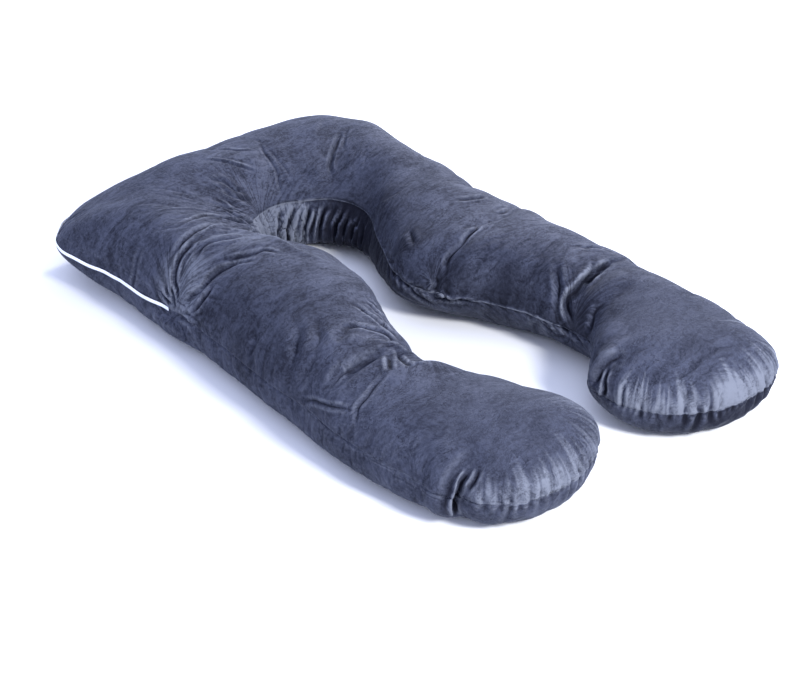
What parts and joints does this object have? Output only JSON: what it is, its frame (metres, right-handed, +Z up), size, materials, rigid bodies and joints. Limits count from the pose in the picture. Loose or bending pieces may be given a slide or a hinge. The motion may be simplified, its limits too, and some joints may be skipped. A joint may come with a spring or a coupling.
{
  "type": "u-shaped body pillow",
  "caption": "U-shaped full-body cushion lying flat: rounded head end, two waisted legs with bulbous feet, gathered seam round the edge and a zip at one head corner.",
  "frame": {"origin": "under the middle of the bounding box, on the surface that the pillow lies on", "axes": "+Y from the feet to the head, along the greatest length; +Z up; the leg with the zip above it is at -X"},
  "size_m": [0.8618, 1.4082, 0.2059],
  "materials": {
    "velvet": "short-pile velvet, slate blue-grey, silvery where the pile is brushed over",
    "white_zip": "matt woven tape with a nylon coil"
  },
  "bodies": {
    "root": {"pillow": "velvet", "zip": "white_zip"}
  },
  "joints": []
}
